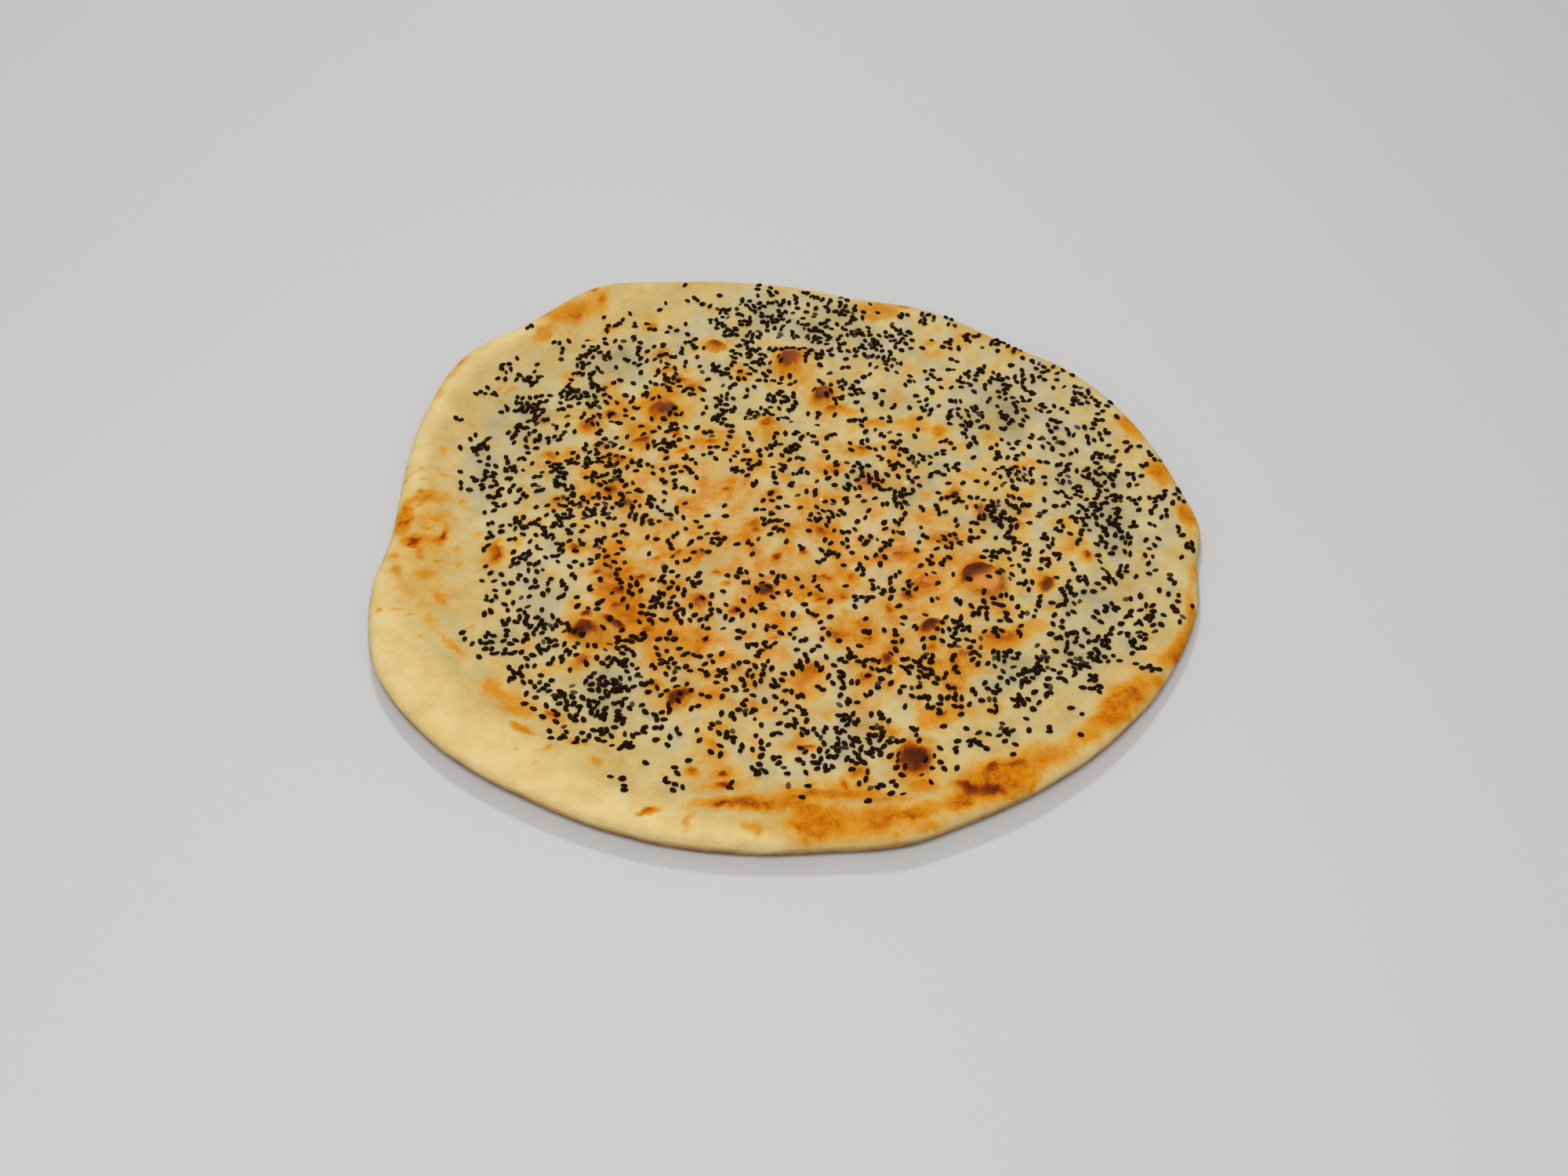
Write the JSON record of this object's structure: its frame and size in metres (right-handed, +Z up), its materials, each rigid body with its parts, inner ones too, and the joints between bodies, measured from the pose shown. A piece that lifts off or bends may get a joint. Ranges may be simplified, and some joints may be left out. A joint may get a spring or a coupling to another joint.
{
  "type": "onion seed naan",
  "caption": "Large hand-stretched naan flatbread with a puffed rim, toasted blisters, shallow hollows and black onion seeds baked into its top.",
  "frame": {"origin": "under the middle of the bread, on the level face that it rests on", "axes": "+Z up out of the seeded top, +X along the bread's longer side, +Y across it"},
  "size_m": [0.3301, 0.3041, 0.0109],
  "materials": {
    "crust": "pale golden baked dough, toasted orange-brown on its bumps, slightly oily in the middle",
    "seeds": "black onion seed, faintly glossy"
  },
  "bodies": {
    "root": {"naan": "crust"}
  },
  "joints": []
}
